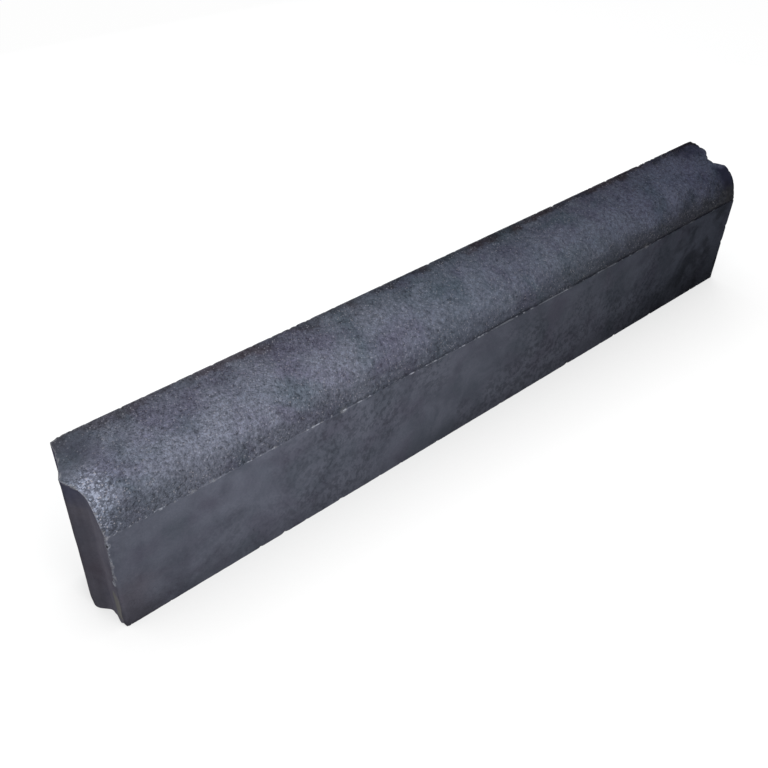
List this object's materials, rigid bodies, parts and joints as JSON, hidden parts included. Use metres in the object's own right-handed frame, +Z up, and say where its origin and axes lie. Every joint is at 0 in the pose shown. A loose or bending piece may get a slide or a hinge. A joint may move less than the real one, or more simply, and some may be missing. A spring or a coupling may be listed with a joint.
{
  "type": "concrete kerb stone",
  "caption": "Concrete kerb stone with an upright front, a rounded shoulder under a low crown, and a round-nosed tongue and groove on its ends.",
  "frame": {"origin": "middle of the bed face, half way along the laid length and half way through the thickness", "axes": "+X along the kerb towards the groove, -Y towards the exposed front face, +Z up from the bed"},
  "size_m": [1.0125, 0.09, 0.19],
  "materials": {
    "concrete": "dry-pressed, dark slate grey, open grain on the crown and smooth formed walls"
  },
  "bodies": {
    "root": {"kerb_stone": "concrete"}
  },
  "joints": []
}
